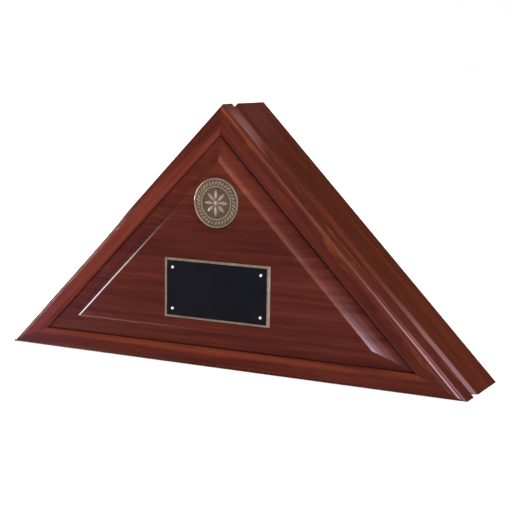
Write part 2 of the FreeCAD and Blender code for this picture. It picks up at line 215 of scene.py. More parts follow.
@dataclass(frozen=True)
class StainedCherry:
    """Cherry under a dark red-brown stain and lacquer: quiet streaks, fine pores and a soft deep shine."""

    name: str
    grain_angle: float
    shift: float
    band_mm: Pair
    tone: float = 0.0
    band_share: float = 0.6
    colours: tuple[str, ...] = ("#35170f", "#401b14", "#492018", "#522619", "#5d2c1c")
    band_colour: str = "#68301c"
    patch_mm: Size = (210.0, 7.0, 7.0)
    patch_edge: Pair = (0.36, 0.62)
    depth_stretch: float = 1.0
    shares: Size = (0.36, 0.46, 0.18)
    places: tuple[float, ...] = (0.34, 0.43, 0.5, 0.57, 0.66)
    # Lighter crest of a rounded edge: rubbed stain and painted sheen
    wear_and_sheen_mm: Pair | None = None
    wear_and_sheen_share: Pair = (0.2, 1.0)
    wear_and_sheen_colour: str = "#6b3a20"
    # Near-black colour of stain and painted shade in the corner against the frame
    glaze_and_shade_colour: str = "#140604"
    roughness: Pair = (0.5, 0.38)
    lacquer: float = 0.4
    lacquer_roughness: float = 0.08

    def across(self, edges: Pair) -> Pair:
        """Turns two heights across the grain from millimetres into the board's own shifted space."""
        low, high = edges
        return low * MM + self.shift / 2, high * MM + self.shift / 2

    def wear_and_sheen(self, tree: Tree, height: Socket, patch: Socket) -> Socket:
        """Finds where the stain is rubbed thin along the crest of a rounded edge, with a painted sheen along
        the same crest.

        Args:
            tree: Node tree of the material.
            height: Socket with the height across the grain, in metres.
            patch: Socket with the noise that makes the wear uneven.

        Returns:
            Socket with the share of the colour of worn stain and painted sheen.
        """
        ramp = add_node(tree, "MapRange", (height, *self.across(self.wear_and_sheen_mm)))
        crest = add_node(tree, "Math", (ramp, 0.5), operation="PINGPONG")
        uneven = add_node(tree, "MapRange", (patch, 0.3, 0.7, *self.wear_and_sheen_share))
        return add_node(tree, "Math", (crest, uneven), operation="MULTIPLY")

    def material(self) -> Material:
        """Makes the wood's material.

        Returns:
            The material.
        """
        material, tree = new_material(self.name)
        place = grain_space(tree, self.grain_angle, self.shift)
        # Board tone 40 mm wide, streaks 7 mm wide; pores are 0.3 mm in cherry and drawn 1.1 mm wide to show
        tone = stretched_noise(tree, place, (420, 40, 40), 3.0, 0.5, 0.4)
        streak = stretched_noise(tree, place, (210, 7 * self.depth_stretch, 7), 4.0, 0.6, 0.4)
        pore = stretched_noise(tree, place, (26, 1.1 * self.depth_stretch, 1.1), 2.0)
        figure = 0.0
        for noise, share in zip((tone, streak, pore), self.shares):
            figure = add_node(tree, "Math", (noise, share, figure), operation="MULTIPLY_ADD")
        stops = [(position - self.tone, code) for position, code in zip(self.places, self.colours)]
        colour = add_node(tree, "ValToRGB", (figure,), stops)
        # Each member is lighter in uneven patches along a band across its grain, near one edge
        height = add_node(tree, "SeparateXYZ", (place,), out="Z")
        band = add_node(
            tree, "MapRange", (height, *self.across(self.band_mm)), interpolation_type="SMOOTHSTEP"
        )
        patch = stretched_noise(tree, place, self.patch_mm, 3.0, 0.6, 0.4)
        uneven = add_node(tree, "MapRange", (patch, *self.patch_edge, 0.0, self.band_share))
        layers = [(add_node(tree, "Math", (band, uneven), operation="MULTIPLY"), self.band_colour)]
        # Rubbed stain and a painted sheen along the crest of the rounded edge
        if self.wear_and_sheen_mm:
            layers.append((self.wear_and_sheen(tree, height, patch), self.wear_and_sheen_colour))
        # Dark stain and painted shade gather in the corner against the frame
        layers.append((add_node(tree, "Attribute", out="Fac", attribute_name=GLAZE_AND_SHADE), self.glaze_and_shade_colour))
        for share, code in layers:
            blend = {0: share, 6: colour, 7: to_linear(code)}
            colour = add_node(tree, "Mix", blend, out=2, data_type="RGBA")
        inputs = {
            "Base Color": colour,
            "Roughness": add_node(tree, "MapRange", (figure, 0.36, 0.64, *self.roughness)),
            "IOR": 1.5,
            "Specular IOR Level": 0.0,
            "Coat Weight": self.lacquer,
            "Coat Roughness": self.lacquer_roughness,
            "Coat IOR": 1.5,
        }
        close_material(tree, pore, 0.12, 0.12, inputs)
        return material


@dataclass(frozen=True)
class PlainWood:
    """Bare or thinly stained wood without lacquer: pale streaks and a dull face."""

    name: str
    grain_angle: float
    light: str
    dark: str
    shift: float = 0.0
    roughness: Pair = (0.72, 0.62)

    def material(self) -> Material:
        """Makes the wood's material.

        Returns:
            The material.
        """
        material, tree = new_material(self.name)
        place = grain_space(tree, self.grain_angle, self.shift)
        # Veneer figure 14 mm wide, pores drawn 1.2 mm wide to show
        figure = stretched_noise(tree, place, (260, 14, 14), 4.0, 0.6, 0.6)
        pore = stretched_noise(tree, place, (20, 1.2, 1.2), 2.0)
        mixed = add_node(tree, "Math", (pore, 0.3, figure), operation="MULTIPLY_ADD")
        colour = add_node(tree, "ValToRGB", (mixed,), ((0.5, self.dark), (0.8, self.light)))
        dull = add_node(tree, "MapRange", (pore, 0.3, 0.7, *self.roughness))
        close_material(tree, pore, 0.3, 0.15, {"Base Color": colour, "Roughness": dull})
        return material


@dataclass(frozen=True)
class Metal:
    """Metal with a lighter and a darker tone, fine brush lines and uneven gloss."""

    name: str
    light: str
    dark: str
    roughness: Pair
    brush_mm: Size = (14.0, 0.5, 0.5)
    cloud_mm: float = 9.0
    scratch: float = 0.15
    metallic: float = 1.0

    def material(self) -> Material:
        """Makes the metal's material.

        Returns:
            The material.
        """
        material, tree = new_material(self.name)
        place = grain_space(tree)
        # Brush lines are a tenth of a millimetre apart and drawn 0.5 mm wide to show
        brush = stretched_noise(tree, place, self.brush_mm, 2.0, 0.6)
        cloud = stretched_noise(tree, place, (self.cloud_mm,) * 3, 3.0, 0.55)
        worn = add_node(tree, "Math", (brush, 0.4, cloud), operation="MULTIPLY_ADD")
        polished, dull = self.roughness
        inputs = {
            "Base Color": add_node(tree, "ValToRGB", (worn,), ((0.52, self.dark), (0.86, self.light))),
            "Roughness": add_node(tree, "MapRange", (worn, 0.5, 0.9, dull, polished)),
            "Metallic": self.metallic,
        }
        close_material(tree, brush, self.scratch, 0.03, inputs)
        return material


@dataclass(frozen=True)
class AntiqueBronze:
    """Die-struck bronze, darkened and rubbed back: dark in the hollows, pale and bright on the crests."""

    name: str
    hollow_y: float
    crest_y: float
    dark: str = "#6b5e46"
    middle: str = "#85775c"
    light: str = "#bdb194"
    roughness: Pair = (0.58, 0.3)

    def material(self) -> Material:
        """Makes the bronze material.

        Returns:
            The material.
        """
        material, tree = new_material(self.name)
        place = add_node(tree, "TexCoord", out="Object")
        # The struck ground is pebbled, about 0.8 mm from pebble to pebble
        pebble = stretched_noise(tree, place, (0.8, 0.8, 0.8), 2.0, 0.6)
        cloud = stretched_noise(tree, place, (7, 7, 7), 3.0, 0.6)
        depth = add_node(tree, "SeparateXYZ", (place,), out="Y")
        rubbed = add_node(tree, "MapRange", (depth, self.hollow_y, self.crest_y))
        for noise, share in ((cloud, 0.5), (pebble, 0.35)):
            rubbed = add_node(tree, "Math", (noise, share, rubbed), operation="MULTIPLY_ADD")
        stops = ((0.4, self.dark), (0.8, self.middle), (1.0, self.light))
        inputs = {
            "Base Color": add_node(tree, "ValToRGB", (rubbed,), stops),
            "Roughness": add_node(tree, "MapRange", (rubbed, 0.4, 1.2, *self.roughness)),
            "Metallic": 0.85,
        }
        close_material(tree, pebble, 0.4, 0.12, inputs)
        return material


@dataclass(frozen=True)
class Coating:
    """Even coat or skin such as black lacquer or foam: faint mottling, dust and an uneven gloss."""

    name: str
    light: str
    dark: str
    roughness: Pair
    mottle_mm: float
    bump_mm: float
    specular: float = 0.5
    glow: float = 0.0

    def material(self) -> Material:
        """Makes the coating's material.

        Returns:
            The material.
        """
        material, tree = new_material(self.name)
        mottle = stretched_noise(tree, grain_space(tree), (self.mottle_mm,) * 3, 4.0, 0.6)
        inputs = {
            "Base Color": add_node(tree, "ValToRGB", (mottle,), ((0.35, self.dark), (0.7, self.light))),
            "Roughness": add_node(tree, "MapRange", (mottle, 0.3, 0.7, *self.roughness)),
            "Specular IOR Level": self.specular,
            "Emission Color": (1.0, 1.0, 1.0, 1.0),
            "Emission Strength": self.glow,
        }
        close_material(tree, mottle, 0.3, self.bump_mm, inputs)
        return material


# Work on the bench


def take(*pieces: Piece) -> None:
    """Selects pieces and nothing else, because an operator acts on all that is selected.

    Args:
        pieces: Pieces to select; the first becomes the active one.
    """
    bpy.ops.object.select_all(action="DESELECT")
    for piece in reversed(pieces):
        piece.select_set(True)
        bpy.context.view_layer.objects.active = piece


def fix_place() -> None:
    """Puts the place, turn and size of what is selected into its mesh."""
    bpy.ops.object.transform_apply(location=True, rotation=True, scale=True)


def add_primitive(operator: Callable, **settings: object) -> Piece:
    """Adds a plain shape to work on.

    Args:
        operator: Blender's operator that adds the shape.
        settings: Size and place of the shape, as the operator takes them.

    Returns:
        The new piece.
    """
    take()
    operator(**settings)
    return bpy.context.object


def add_block(low: Vector, high: Vector) -> Piece:
    """Adds a block with its place in its mesh.

    Args:
        low: Lowest corner, in metres.
        high: Highest corner, in metres.

    Returns:
        The block.
    """
    middle = (low + high) / 2
    block = add_primitive(bpy.ops.mesh.primitive_cube_add, size=1.0, location=middle, scale=high - low)
    fix_place()
    return block


def add_disc(radius: float, centre: Sequence[float], sides: int) -> Piece:
    """Adds a flat disc that faces the front, with its place in its mesh.

    Args:
        radius: Radius in millimetres.
        centre: Middle of the disc, in metres.
        sides: Corners of the disc.

    Returns:
        The disc.
    """
    disc = add_primitive(
        bpy.ops.mesh.primitive_circle_add,
        vertices=sides,
        radius=radius * MM,
        fill_type="NGON",
        location=centre,
        rotation=(QUARTER, 0, 0),
    )
    fix_place()
    return disc


@contextmanager
def editing(piece: Piece, part: Part = Part.VERT) -> Iterator[None]:
    """Opens a piece in edit mode and closes it again.

    Args:
        piece: Piece to edit.
        part: What is selected.
    """
    take(piece)
    bpy.ops.object.mode_set(mode="EDIT")
    bpy.ops.mesh.select_mode(type=part.name)
    yield
    bpy.ops.object.mode_set(mode="OBJECT")


def pick(piece: Piece, part: Part, test: Callable[[object], bool]) -> None:
    """Selects the parts of an edited mesh that pass a test, and no others.

    Args:
        piece: Piece in edit mode.
        part: What is selected.
        test: Takes one vertex or face and says whether it is selected.
    """
    mesh = bmesh.from_edit_mesh(piece.data)
    bpy.ops.mesh.select_all(action="DESELECT")
    for item in getattr(mesh, part.value):
        if test(item):
            item.select_set(True)
    mesh.select_flush_mode()
    bmesh.update_edit_mesh(piece.data)


def flat_outline(points: Sequence[Vector]) -> Piece:
    """Makes one flat face through points, from a ring that has as many corners.

    Args:
        points: Corners in order, in metres.

    Returns:
        The new piece.
    """
    ring = bpy.ops.mesh.primitive_circle_add
    piece = add_primitive(ring, vertices=len(points), radius=1.0, fill_type="NGON")
    starts = [vertex.co.copy() for vertex in piece.data.vertices]
    with editing(piece):
        for start, point in zip(starts, points):
            pick(piece, Part.VERT, lambda vertex: (vertex.co - start).length < TOUCH)
            bpy.ops.transform.translate(value=point - start)
    return piece


def face_outwards(piece: Piece) -> None:
    """Merges doubles and turns all faces outwards.

    Args:
        piece: Closed piece.
    """
    with editing(piece):
        bpy.ops.mesh.select_all(action="SELECT")
        bpy.ops.mesh.remove_doubles(threshold=TOUCH)
        bpy.ops.mesh.normals_make_consistent(inside=False)


def draw_out(move: Sequence[float]) -> None:
    """Extrudes what is selected by a move in metres."""
    bpy.ops.mesh.extrude_region_move(TRANSFORM_OT_translate={"value": move})


def step_inwards(steps: Steps) -> None:
    """Insets the selected face again and again, by widths and rises in millimetres, as on a lathe."""
    for width, rise in steps:
        bpy.ops.mesh.inset(thickness=width * MM, depth=rise * MM)


def raise_up(piece: Piece, rise: float, steps: Steps = ()) -> None:
    """Draws a flat face out to the front, steps it inwards and closes the piece.

    Args:
        piece: Flat piece that faces the front.
        rise: Distance to the front, in millimetres.
        steps: Width and rise of each step inwards, in millimetres.
    """
    with editing(piece, Part.FACE):
        bpy.ops.mesh.select_all(action="SELECT")
        draw_out((0, -rise * MM, 0))
        step_inwards(steps)
    face_outwards(piece)


def profile_steps(points: Steps) -> list[Pair]:
    """Turns a profile of distances in and heights into inset steps."""
    return [(after[0] - before[0], after[1] - before[1]) for before, after in zip(points, points[1:])]


def dome_steps(radius: float, height: float, rows: int) -> list[Pair]:
    """Works out the inset steps of a dome.

    Args:
        radius: Radius of its foot, in millimetres.
        height: Height of the dome, in millimetres.
        rows: Rows of faces from foot to top.

    Returns:
        Width and rise of each step, in millimetres.
    """
    angles = [QUARTER * row / rows for row in range(rows)]
    return profile_steps([(radius * (1 - math.cos(angle)), height * math.sin(angle)) for angle in angles])


def rounded_profile(corners: Sequence[tuple[float, float, float, int]]) -> list[Pair]:
    """Works out the points of a profile with rounded corners.

    Args:
        corners: Distance in, height, rounding radius and segments of each corner, in millimetres.

    Returns:
        Points of the profile, in millimetres.
    """
    points: list[Pair] = []
    for index, (distance, height, radius, segments) in enumerate(corners):
        if radius == 0:
            points.append((distance, height))
            continue
        corner = Vector((distance, height))
        back = (Vector(corners[index - 1][:2]) - corner).normalized()
        ahead = (Vector(corners[index + 1][:2]) - corner).normalized()
        half = back.angle(ahead) / 2
        centre = corner + (back + ahead).normalized() * (radius / math.sin(half))
        start = corner + back * (radius / math.tan(half)) - centre
        sweep = math.copysign(math.pi - 2 * half, back.y * ahead.x - back.x * ahead.y)
        for segment in range(segments + 1):
            cosine = math.cos(sweep * segment / segments)
            sine = math.sin(sweep * segment / segments)
            turned = Vector((start.x * cosine - start.y * sine, start.x * sine + start.y * cosine))
            points.append(tuple(centre + turned))
    return points


def soften(piece: Piece, width_mm: float, segments: int = 2, angle: float = 30.0) -> None:
    """Breaks the sharp edges of a piece with a small bevel.

    Args:
        piece: Piece to soften.
        width_mm: Width of the bevel, in millimetres.
        segments: Steps across the bevel.
        angle: Edges that turn by more than this many degrees are broken.
    """
    take(piece)
    bevel = piece.modifiers.new("soften", "BEVEL")
    bevel.width = width_mm * MM
    bevel.segments = segments
    bevel.limit_method = "ANGLE"
    bevel.angle_limit = math.radians(angle)
    bpy.ops.object.modifier_apply(modifier=bevel.name)


def carve(piece: Piece, cutter: Piece) -> None:
    """Cuts a shape out of a piece and throws the cutter away.

    Args:
        piece: Piece to cut.
        cutter: Shape to cut out.
    """
    take(piece)
    cut = piece.modifiers.new("carve", "BOOLEAN")
    cut.operation = "DIFFERENCE"
    cut.solver = "EXACT"
    cut.object = cutter
    bpy.ops.object.modifier_apply(modifier=cut.name)
    bpy.data.objects.remove(cutter)


def copy_piece(piece: Piece, move: Sequence[float] = (0, 0, 0)) -> Piece:
    """Copies a piece with a mesh of its own and moves the copy.

    Args:
        piece: Piece to copy.
        move: How far the copy goes, in metres.

    Returns:
        The copy, with its place in its mesh.
    """
    take(piece)
    bpy.ops.object.duplicate(linked=False)
    bpy.ops.transform.translate(value=move)
    fix_place()
    return bpy.context.object


def join(*members: Piece) -> Piece:
    """Joins pieces into the first of them.

    Args:
        members: Pieces to join.

    Returns:
        The joined piece.
    """
    take(*members)
    bpy.ops.object.join()
    return bpy.context.object


def ring_of_copies(piece: Piece, count: int, centre: Vector) -> Piece:
    """Repeats a piece round a level axis that points to the front, and joins the copies.

    Args:
        piece: First piece of the ring.
        count: Pieces in the ring.
        centre: Point on the axis.

    Returns:
        The joined ring.
    """
    members = [piece]
    for index in range(1, count):
        members.append(copy_piece(piece))
        turn = 2 * math.pi * index / count
        bpy.ops.transform.rotate(value=turn, orient_axis="Y", center_override=centre)
        fix_place()
    return join(*members)


@dataclass(frozen=True)
class Ticket:
    """What a finished piece is called, what it rides on and what it stands for."""

    name: str
    body: Body
    slot: str
    nodes: tuple[str, ...]

    def settle(self, piece: Piece, material: Material, smooth: float = 30.0) -> None:
        """Names and shades a piece, dresses it and puts it on its body.

        Args:
            piece: Finished piece, with its place in its mesh.
            material: Finish of the piece.
            smooth: Edges that turn by less than this many degrees are shaded smooth.
        """
        take(piece)
        fix_place()
        bpy.ops.object.shade_smooth_by_angle(angle=math.radians(smooth))
        even = piece.modifiers.new("even", "WEIGHTED_NORMAL")
        even.keep_sharp = True
        even.weight = 100
        bpy.ops.object.modifier_apply(modifier=even.name)
        piece.name = self.name
        piece.data.name = self.name
        piece.data.materials.clear()
        piece.data.materials.append(material)
        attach(piece, self.body.value)
        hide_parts(*self.nodes)
        LOG.info("%s: %d faces, rides on %s", self.name, len(piece.data.polygons), self.body.value)


# Outline of the case


def at_depth(flat: Vector, depth: float) -> Vector:
    """Turns a flat point and a depth behind the frame face, in millimetres, into a place in metres."""
    return Vector((flat.x * MM, FACE_Y + depth * MM, flat.y * MM))


@dataclass(frozen=True)
class Side:
    """One side of the triangle, from a start corner to an end corner, in millimetres of X and Z."""

    start: Vector
    end: Vector

    @property
    def length(self) -> float:
        """Length of the side in millimetres."""
        return (self.end - self.start).length

    @property
    def along(self) -> Vector:
        """Direction from start to end."""
        return (self.end - self.start).normalized()

    @property
    def inward(self) -> Vector:
        """Direction from the outer face into the case."""
        return Vector((-self.along.y, self.along.x))

    @property
    def angle(self) -> float:
        """Direction of the side in the plane of the front, in radians."""
        return math.atan2(self.along.y, self.along.x)

    def band(self, low: float, high: float) -> Pair:
        """Turns two distances inward from the outer face into heights in the side's turned space."""
        root = self.start.dot(self.inward)
        return root + low, root + high

    def point(self, run: float, across: float, depth: float) -> Vector:
        """Finds a point in metres by its run from the start, its distance in and its depth."""
        return at_depth(self.start + self.along * run + self.inward * across, depth)


@dataclass(frozen=True)
class Outline:
    """Triangle that the case shows from the front, in millimetres."""

    width: float = 660.0
    height: float = 337.0

    @property
    def corners(self) -> tuple[Vector, Vector, Vector]:
        """Left, right and top corner."""
        return Vector((-self.width / 2, 0)), Vector((self.width / 2, 0)), Vector((0, self.height))

    @property
    def middle(self) -> Vector:
        """Point that lies as far from every side, where the mitres would meet."""
        slope = math.hypot(self.width / 2, self.height)
        return Vector((0, self.width * self.height / (self.width + 2 * slope)))

    @property
    def base(self) -> Side:
        """Lower side, from left to right."""
        return Side(self.corners[0], self.corners[1])

    @property
    def right(self) -> Side:
        """Right slope, from its foot to the top."""
        return Side(self.corners[1], self.corners[2])

    @property
    def left(self) -> Side:
        """Left slope, from the top to its foot."""
        return Side(self.corners[2], self.corners[0])

    def distances(self, place: Vector) -> list[float]:
        """Finds how far a place in metres lies inside the lower, right and left side, in millimetres."""
        flat = Vector((place.x, place.z)) / MM
        return [(flat - side.start).dot(side.inward) for side in (self.base, self.right, self.left)]

    def inset(self, distance: float, depth: float) -> list[Vector]:
        """Finds the corners of the triangle that lies inside the outline.

        Args:
            distance: Distance inside every side, in millimetres.
            depth: Depth behind the frame face, in millimetres.

        Returns:
            Left, right and top corner in metres.
        """
        share = 1 - distance / self.middle.y
        return [at_depth(self.middle + (corner - self.middle) * share, depth) for corner in self.corners]


OUTLINE = Outline()


# Members of the door and the box


@dataclass(frozen=True)
class HingeSeat:
    """Room in the wood for a hinge leaf and the knuckles, in millimetres."""

    half_length: float = 25.1
    inner_edge: float = 15.6
    outer_edge: float = -5.0
    axis_inset: float = 2.2
    axis_depth: float = 37.9
    barrel_radius: float = 2.4
    barrel_half: float = 26.2
    barrel_sides: int = 48
    runs: Pair = (120.833, 350.833)

    def carve(self, piece: Piece, front: float, rear: float) -> None:
        """Cuts both hinge seats into a member of the left slope.

        Args:
            piece: Member to cut.
            front: Depth where the leaf's recess starts, in millimetres.
            rear: Depth where it ends, in millimetres.
        """
        side = OUTLINE.left
        size = Vector((2 * self.half_length, rear - front, self.inner_edge - self.outer_edge)) * MM
        for run in self.runs:
            middle = side.point(run, (self.outer_edge + self.inner_edge) / 2, (front + rear) / 2)
            leaf = add_primitive(
                bpy.ops.mesh.primitive_cube_add,
                size=1.0,
                location=middle,
                rotation=(0, -side.angle, 0),
                scale=size,
            )
            carve(piece, leaf)
            barrel = add_primitive(
                bpy.ops.mesh.primitive_cylinder_add,
                vertices=self.barrel_sides,
                radius=self.barrel_radius * MM,
                depth=2 * self.barrel_half * MM,
                location=side.point(run, self.axis_inset, self.axis_depth),
                rotation=(0, QUARTER - side.angle, 0),
            )
            carve(piece, barrel)


@dataclass(frozen=True)
class CatchSeats:
    """Round recesses for the magnets and strikes either side of the right corner, in millimetres."""

    from_corner: float = 120.0
    across: float = 11.3
    sides: int = 48

    def centre(self, side: Side, depth: float) -> Vector:
        """Finds the middle of the catch on the lower side or the right slope, at a depth in millimetres."""
        run = self.from_corner if side == OUTLINE.right else side.length - self.from_corner
        return side.point(run, self.across, depth)

    def carve(self, piece: Piece, side: Side, radius: float, front: float, rear: float) -> None:
        """Cuts one round recess.

        Args:
            piece: Member to cut.
            side: Side that the member lies on.
            radius: Radius of the recess, in millimetres.
            front: Depth where it starts, in millimetres.
            rear: Depth where it ends, in millimetres.
        """
        cutter = add_primitive(
            bpy.ops.mesh.primitive_cylinder_add,
            vertices=self.sides,
            radius=radius * MM,
            depth=(rear - front) * MM,
            location=self.centre(side, (front + rear) / 2),
            rotation=(QUARTER, 0, 0),
        )
        carve(piece, cutter)


@dataclass(frozen=True)
class Corner:
    """Corner of a wood section, in millimetres."""

    across: float
    depth: float
    rounding: float = 0.0
    segments: int = 3


@dataclass
class MitredMember:
    """Length of moulded wood, mitred at both ends, with recesses for its hardware, in millimetres."""

    node: str
    body: Body
    side: Side
    section: Sequence[Corner]
    finish: StainedCherry
    leaf_recess: Pair
    catch_recess: Size
    overrun: float = 8.0
    joint_gap: float = 0.04

    def run_section(self) -> Piece:
        """Draws the section, runs it along the side and mitres it.

        Returns:
            The member without its recesses.
        """
        points = [self.side.point(-self.overrun, corner.across, corner.depth) for corner in self.section]
        piece = flat_outline(points)
        with editing(piece):
            for index, corner in enumerate(self.section):
                if corner.rounding:
                    back = points[index - 1] - points[index]
                    ahead = points[(index + 1) % len(points)] - points[index]
                    pick(piece, Part.VERT, lambda vertex: (vertex.co - points[index]).length < TOUCH)
                    bpy.ops.mesh.bevel(
                        affect="VERTICES",
                        offset_type="ABSOLUTE",
                        offset=corner.rounding * MM / math.tan(back.angle(ahead) / 2),
                        segments=corner.segments,
                        profile=0.5,
                        clamp_overlap=False,
                    )
            bpy.ops.mesh.select_all(action="SELECT")
            run = (self.side.length + 2 * self.overrun) * MM
            draw_out(Vector((self.side.along.x, 0, self.side.along.y)) * run)
            self.mitre(self.side.start, -1)
            self.mitre(self.side.end, 1)
        face_outwards(piece)
        return piece

    def mitre(self, corner: Vector, outward: int) -> None:
        """Cuts one end of the edited member off along its mitre.

        Args:
            corner: Corner of the outline at that end, in millimetres.
            outward: 1 where the end lies ahead along the side, -1 where it lies behind.
        """
        inward = (OUTLINE.middle - corner).normalized()
        flat = Vector((inward.y, -inward.x))
        if flat.dot(self.side.along) * outward < 0:
            flat = -flat
        start = (corner - flat * self.joint_gap) * MM
        bpy.ops.mesh.select_all(action="SELECT")
        bpy.ops.mesh.bisect(
            plane_co=(start.x, 0, start.y), plane_no=(flat.x, 0, flat.y), use_fill=True, clear_outer=True
        )

    def build(self) -> None:
        """Makes the member, cuts its recesses and puts it on its body."""
        piece = self.run_section()
        if self.side == OUTLINE.left:
            HingeSeat().carve(piece, *self.leaf_recess)
        else:
            CatchSeats().carve(piece, self.side, *self.catch_recess)
        face_outwards(piece)
        ticket = Ticket(f"{self.node}_wood", self.body, "stained_wood", (self.node,))
        ticket.settle(piece, self.finish.material())


# Door


@dataclass
class DoorFrame:
    """Lower rail and two stiles with a rounded, stepped outer edge, in millimetres."""

    face_width: float = 26.5
    face_thickness: float = 16.0
    board: float = 19.0
    rear: float = 37.8
    groove_start: float = 30.5
    groove_depth: float = 3.6
    step: float = 1.2
    quirk: float = 7.8
    edge_round: float = 7.0
    slot_front: float = 4.0
    slot_rear: float = 10.3
    slot_floor: float = 17.5
    leaf: float = 1.2
    strike_radius: float = 6.05
    strike_depth: float = 1.5
    overcut: float = 1.0

    def section(self) -> list[Corner]:
        """Draws the section, from its inner arris round its outer edge to the slot.

        Returns:
            Its corners in order.
        """
        return [
            Corner(self.face_width, 0, 2.0, 6),
            Corner(self.quirk, 0, 0.25, 3),
            Corner(self.quirk, self.step),
            Corner(0, self.step, self.edge_round, 12),
            Corner(0, self.groove_start, 0.5, 4),
            Corner(self.groove_depth, self.rear, 0.3, 2),
            Corner(self.board, self.rear, 0.4, 2),
            Corner(self.board, self.face_thickness),
            Corner(self.face_width, self.face_thickness, 0.4, 2),
            Corner(self.face_width, self.slot_rear),
            Corner(self.slot_floor, self.slot_rear),
            Corner(self.slot_floor, self.slot_front),
            Corner(self.face_width, self.slot_front),
        ]

    def build(self) -> None:
        """Makes the three members, each with a figure of its own."""
        base, right, left = OUTLINE.base, OUTLINE.right, OUTLINE.left
        # On the right stile the stain is worn to gold in patches; along the middle of the rounded edge the
        # gold is worn stain and a painted sheen
        golden_and_sheen = {
            "band_colour": "#844619",
            "patch_mm": (40.0, 6.0, 9.0),
            "patch_edge": (0.55, 0.78),
            "wear_and_sheen_mm": right.band(8.4, 0.4),
            "lacquer": 0.8,
            "lacquer_roughness": 0.05,
        }
        rows = (
            ("door_bottom_rail", base, 0.58, (16.0, 22.0), -0.05, {}),
            ("door_right_stile", right, 2.92, (18.0, 9.0), -0.045, golden_and_sheen),
            ("door_left_stile", left, 0.83, (5.0, 12.0), -0.035, {"band_colour": "#6a3026"}),
        )
        end = self.rear + self.overcut
        leaf = (self.rear - self.leaf, end)
        catch = (self.strike_radius, self.rear - self.strike_depth, end)
        for node, side, shift, band, tone, extra in rows:
            name = f"stained_cherry_{node}"
            finish = StainedCherry(name, side.angle, shift, side.band(*band), tone, **extra)
            MitredMember(node, Body.DOOR, side, self.section(), finish, leaf, catch).build()


@dataclass
class RaisedPanel:
    """Triangular panel with a coved bevel round a raised field, in millimetres."""

    tongue_edge: float = 18.3
    tongue_front: float = 4.15
    rear: float = 10.15
    frame_edge: float = 26.5
    knee: float = 41.0
    knee_depth: float = 0.2
    cove_radius: float = 50.0
    field_edge: float = 49.3
    field_rise: float = 5.0
    arris: float = 0.5
    roll_width: float = 1.9
    roll_drop: float = 0.28
    roll_radii: Pair = (1.5, 2.0)
    guide: float = 20.0
    ring_slack: float = 0.1
    # Rings of dark stain and painted shade in the corner against the frame; the right slope gets the most
    glaze_and_shade_rings: tuple[float, ...] = (1.2, 2.4, 3.8)
    glaze_and_shade_base: tuple[float, ...] = (0.7, 0.25, 0.1, 0.0, 0.0)
    glaze_and_shade_right: tuple[float, ...] = (0.9, 0.8, 0.5, 0.2, 0.0)
    glaze_and_shade_left: tuple[float, ...] = (0.2, 0.1, 0.0, 0.0, 0.0)
    smooth: float = 3.0

    def on_slope(self, distance: float) -> float:
        """Height of the flat part of the bevel at a distance from the frame, in millimetres."""
        rise = (self.tongue_front - self.knee_depth) / (self.knee - self.frame_edge)
        return distance * rise - self.tongue_front

    def glaze(self, piece: Piece) -> None:
        """Marks the corner against the frame with dark stain and painted shade, darkest on the right slope.

        Args:
            piece: Panel to mark.
        """
        layer = piece.data.attributes.new(GLAZE_AND_SHADE, "FLOAT", "CORNER")
        depths = (self.glaze_and_shade_base, self.glaze_and_shade_right, self.glaze_and_shade_left)
        rings = (0.0, *self.glaze_and_shade_rings)
        for face in piece.data.polygons:
            reaches = OUTLINE.distances(face.center)
            side = reaches.index(min(reaches))
            for corner in face.loop_indices:
                place = piece.data.vertices[piece.data.loops[corner].vertex_index].co
                distance = min(OUTLINE.distances(place)) - self.frame_edge
                ring = sum(distance > start + self.ring_slack for start in rings)
                layer.data[corner].value = depths[side][ring]

    def build(self) -> None:
        """Raises the field out of a flat triangle, step by step."""
        piece = flat_outline(OUTLINE.inset(self.tongue_edge, self.rear))
        edge, top = self.field_edge, self.field_rise
        first, second = self.roll_radii
        profile = rounded_profile(
            [
                (self.tongue_edge, -self.tongue_front, 0, 0),
                (self.frame_edge, -self.tongue_front, 0, 0),
                *((self.frame_edge + ring, self.on_slope(ring), 0, 0) for ring in self.glaze_and_shade_rings),
                (self.knee, -self.knee_depth, self.cove_radius, 12),
                (edge, top - self.roll_drop, self.arris, 4),
                (edge + 0.5 * self.roll_width, top - 0.4 * self.roll_drop, first, 3),
                (edge + self.roll_width, top, second, 3),
                (edge + self.guide, top, 0, 0),
            ]
        )
        # The last corner only guides the rounding of the one before it
        raise_up(piece, self.rear - self.tongue_front, profile_steps(profile[:-1]))
        self.glaze(piece)
        look = {"lacquer": 1.0, "depth_stretch": 8.0}
        finish = StainedCherry("stained_cherry_panel", 0.0, 1.16, (150.0, 270.0), -0.014, 0.3, **look)
        ticket = Ticket("door_panel_wood", Body.DOOR, "panel_wood", ("door_panel",))
        ticket.settle(piece, finish.material(), self.smooth)


